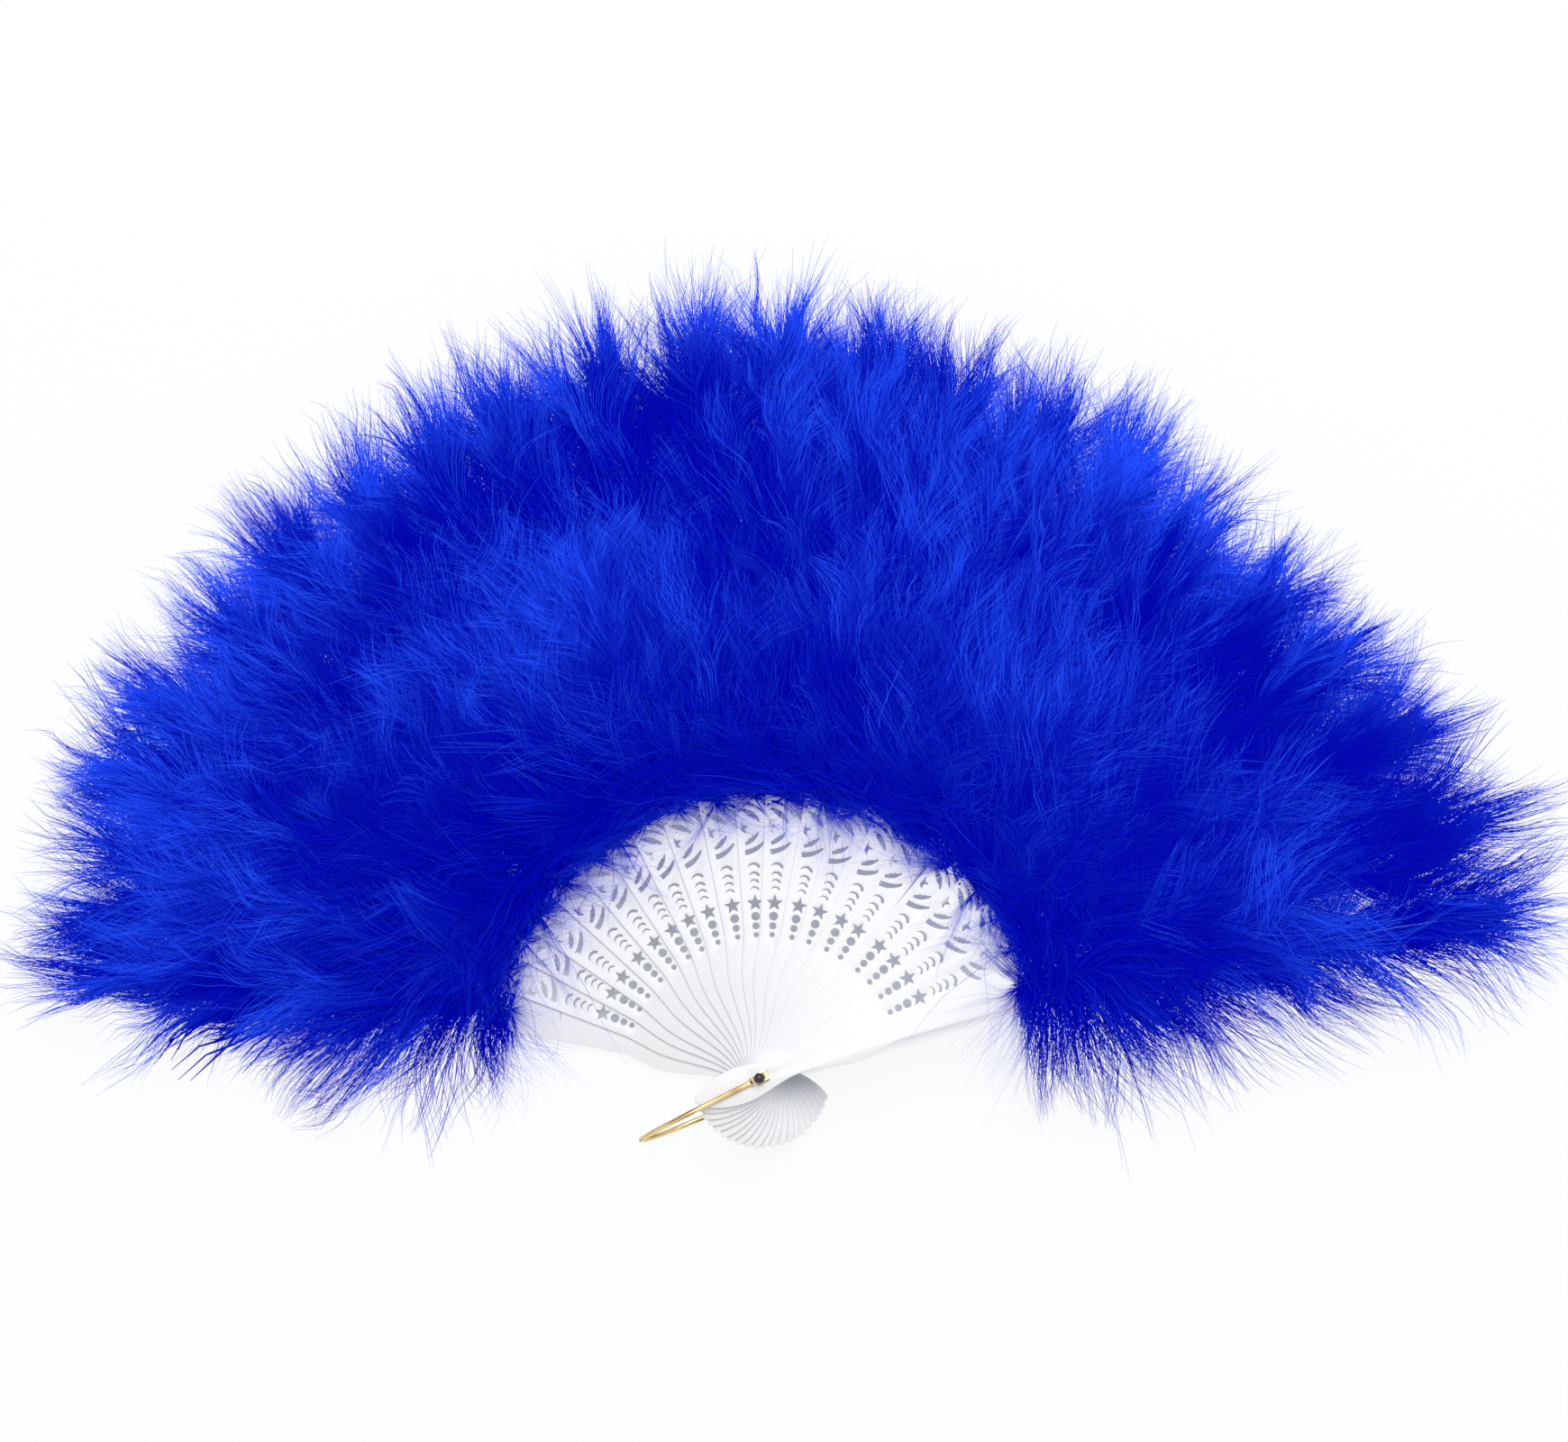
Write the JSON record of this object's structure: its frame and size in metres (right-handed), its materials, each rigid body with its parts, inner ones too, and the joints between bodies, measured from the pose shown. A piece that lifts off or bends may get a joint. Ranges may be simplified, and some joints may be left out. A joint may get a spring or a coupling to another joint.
{
  "type": "feather fan",
  "caption": "Open folding feather fan: pierced white plastic sticks between plain guards on a rivet with a wire loop, and a blue marabou plume on the end of each.",
  "frame": {"origin": "on the rivet's axis, at the flat bottom of its rear head, with the fan lying open on its back", "axes": "+Z along the rivet from the rear head to the ball, +Y from the rivet through the middle of the spread, +X to the right as seen from the front"},
  "size_m": [0.5017, 0.2897, 0.0382],
  "materials": {
    "white_plastic": "satin",
    "blue_marabou": "matte",
    "gold_wire": "polished",
    "black_enamel": "gloss"
  },
  "bodies": {
    "back_guard": {"back_guard": "white_plastic", "back_guard_plume": "blue_marabou", "rivet_pin": "gold_wire", "rivet_ball": "black_enamel"},
    "wire_loop": {"wire_loop": "gold_wire"},
    "front_guard": {"front_guard": "white_plastic", "front_guard_plume": "blue_marabou"},
    "stick_01": {"stick_01": "white_plastic", "stick_01_plume": "blue_marabou"},
    "stick_02": {"stick_02": "white_plastic", "stick_02_plume": "blue_marabou"},
    "stick_03": {"stick_03": "white_plastic", "stick_03_plume": "blue_marabou"},
    "stick_04": {"stick_04": "white_plastic", "stick_04_plume": "blue_marabou"},
    "stick_05": {"stick_05": "white_plastic", "stick_05_plume": "blue_marabou"},
    "stick_06": {"stick_06": "white_plastic", "stick_06_plume": "blue_marabou"},
    "stick_07": {"stick_07": "white_plastic", "stick_07_plume": "blue_marabou"},
    "stick_08": {"stick_08": "white_plastic", "stick_08_plume": "blue_marabou"},
    "stick_09": {"stick_09": "white_plastic", "stick_09_plume": "blue_marabou"},
    "stick_10": {"stick_10": "white_plastic", "stick_10_plume": "blue_marabou"},
    "stick_11": {"stick_11": "white_plastic", "stick_11_plume": "blue_marabou"},
    "stick_12": {"stick_12": "white_plastic", "stick_12_plume": "blue_marabou"},
    "stick_13": {"stick_13": "white_plastic", "stick_13_plume": "blue_marabou"},
    "stick_14": {"stick_14": "white_plastic", "stick_14_plume": "blue_marabou"},
    "stick_15": {"stick_15": "white_plastic", "stick_15_plume": "blue_marabou"},
    "stick_16": {"stick_16": "white_plastic", "stick_16_plume": "blue_marabou"},
    "stick_17": {"stick_17": "white_plastic", "stick_17_plume": "blue_marabou"},
    "stick_18": {"stick_18": "white_plastic", "stick_18_plume": "blue_marabou"},
    "stick_19": {"stick_19": "white_plastic", "stick_19_plume": "blue_marabou"}
  },
  "joints": [
    {"name": "front_guard_fold", "type": "hinge", "parent": "back_guard", "child": "front_guard", "pos_m": [0, 0, 0], "axis": [0, 0, 1], "range_deg": [0, 145.1]},
    {"name": "stick_01_fold", "type": "hinge", "parent": "back_guard", "child": "stick_01", "pos_m": [0, 0, 0], "axis": [0, 0, 1], "range_deg": [0, 7.31]},
    {"name": "stick_02_fold", "type": "hinge", "parent": "back_guard", "child": "stick_02", "pos_m": [0, 0, 0], "axis": [0, 0, 1], "range_deg": [0, 14.51]},
    {"name": "stick_03_fold", "type": "hinge", "parent": "back_guard", "child": "stick_03", "pos_m": [0, 0, 0], "axis": [0, 0, 1], "range_deg": [0, 20.72]},
    {"name": "stick_04_fold", "type": "hinge", "parent": "back_guard", "child": "stick_04", "pos_m": [0, 0, 0], "axis": [0, 0, 1], "range_deg": [0, 28.91]},
    {"name": "stick_05_fold", "type": "hinge", "parent": "back_guard", "child": "stick_05", "pos_m": [0, 0, 0], "axis": [0, 0, 1], "range_deg": [0, 36.31]},
    {"name": "stick_06_fold", "type": "hinge", "parent": "back_guard", "child": "stick_06", "pos_m": [0, 0, 0], "axis": [0, 0, 1], "range_deg": [0, 43.51]},
    {"name": "stick_07_fold", "type": "hinge", "parent": "back_guard", "child": "stick_07", "pos_m": [0, 0, 0], "axis": [0, 0, 1], "range_deg": [0, 49.81]},
    {"name": "stick_08_fold", "type": "hinge", "parent": "back_guard", "child": "stick_08", "pos_m": [0, 0, 0], "axis": [0, 0, 1], "range_deg": [0, 56.9]},
    {"name": "stick_09_fold", "type": "hinge", "parent": "back_guard", "child": "stick_09", "pos_m": [0, 0, 0], "axis": [0, 0, 1], "range_deg": [0, 65.12]},
    {"name": "stick_10_fold", "type": "hinge", "parent": "back_guard", "child": "stick_10", "pos_m": [0, 0, 0], "axis": [0, 0, 1], "range_deg": [0, 72.71]},
    {"name": "stick_11_fold", "type": "hinge", "parent": "back_guard", "child": "stick_11", "pos_m": [0, 0, 0], "axis": [0, 0, 1], "range_deg": [0, 79.1]},
    {"name": "stick_12_fold", "type": "hinge", "parent": "back_guard", "child": "stick_12", "pos_m": [0, 0, 0], "axis": [0, 0, 1], "range_deg": [0, 87.22]},
    {"name": "stick_13_fold", "type": "hinge", "parent": "back_guard", "child": "stick_13", "pos_m": [0, 0, 0], "axis": [0, 0, 1], "range_deg": [0, 94.31]},
    {"name": "stick_14_fold", "type": "hinge", "parent": "back_guard", "child": "stick_14", "pos_m": [0, 0, 0], "axis": [0, 0, 1], "range_deg": [0, 102.02]},
    {"name": "stick_15_fold", "type": "hinge", "parent": "back_guard", "child": "stick_15", "pos_m": [0, 0, 0], "axis": [0, 0, 1], "range_deg": [0, 108.41]},
    {"name": "stick_16_fold", "type": "hinge", "parent": "back_guard", "child": "stick_16", "pos_m": [0, 0, 0], "axis": [0, 0, 1], "range_deg": [0, 117]},
    {"name": "stick_17_fold", "type": "hinge", "parent": "back_guard", "child": "stick_17", "pos_m": [0, 0, 0], "axis": [0, 0, 1], "range_deg": [0, 123.71]},
    {"name": "stick_18_fold", "type": "hinge", "parent": "back_guard", "child": "stick_18", "pos_m": [0, 0, 0], "axis": [0, 0, 1], "range_deg": [0, 130.9]},
    {"name": "stick_19_fold", "type": "hinge", "parent": "back_guard", "child": "stick_19", "pos_m": [0, 0, 0], "axis": [0, 0, 1], "range_deg": [0, 138.12]},
    {"name": "loop_swing", "type": "hinge", "parent": "back_guard", "child": "wire_loop", "pos_m": [0, 0, 0], "axis": [0, 0, 1], "range_deg": [-25, 155]}
  ],
  "couplings": [
    {"joint": "stick_01_fold", "follows": "front_guard_fold", "ratio": 0.0503},
    {"joint": "stick_02_fold", "follows": "front_guard_fold", "ratio": 0.0999},
    {"joint": "stick_03_fold", "follows": "front_guard_fold", "ratio": 0.1427},
    {"joint": "stick_04_fold", "follows": "front_guard_fold", "ratio": 0.1992},
    {"joint": "stick_05_fold", "follows": "front_guard_fold", "ratio": 0.2502},
    {"joint": "stick_06_fold", "follows": "front_guard_fold", "ratio": 0.2998},
    {"joint": "stick_07_fold", "follows": "front_guard_fold", "ratio": 0.3432},
    {"joint": "stick_08_fold", "follows": "front_guard_fold", "ratio": 0.3921},
    {"joint": "stick_09_fold", "follows": "front_guard_fold", "ratio": 0.4487},
    {"joint": "stick_10_fold", "follows": "front_guard_fold", "ratio": 0.501},
    {"joint": "stick_11_fold", "follows": "front_guard_fold", "ratio": 0.5451},
    {"joint": "stick_12_fold", "follows": "front_guard_fold", "ratio": 0.601},
    {"joint": "stick_13_fold", "follows": "front_guard_fold", "ratio": 0.6499},
    {"joint": "stick_14_fold", "follows": "front_guard_fold", "ratio": 0.703},
    {"joint": "stick_15_fold", "follows": "front_guard_fold", "ratio": 0.7471},
    {"joint": "stick_16_fold", "follows": "front_guard_fold", "ratio": 0.8063},
    {"joint": "stick_17_fold", "follows": "front_guard_fold", "ratio": 0.8525},
    {"joint": "stick_18_fold", "follows": "front_guard_fold", "ratio": 0.9021},
    {"joint": "stick_19_fold", "follows": "front_guard_fold", "ratio": 0.9518}
  ]
}
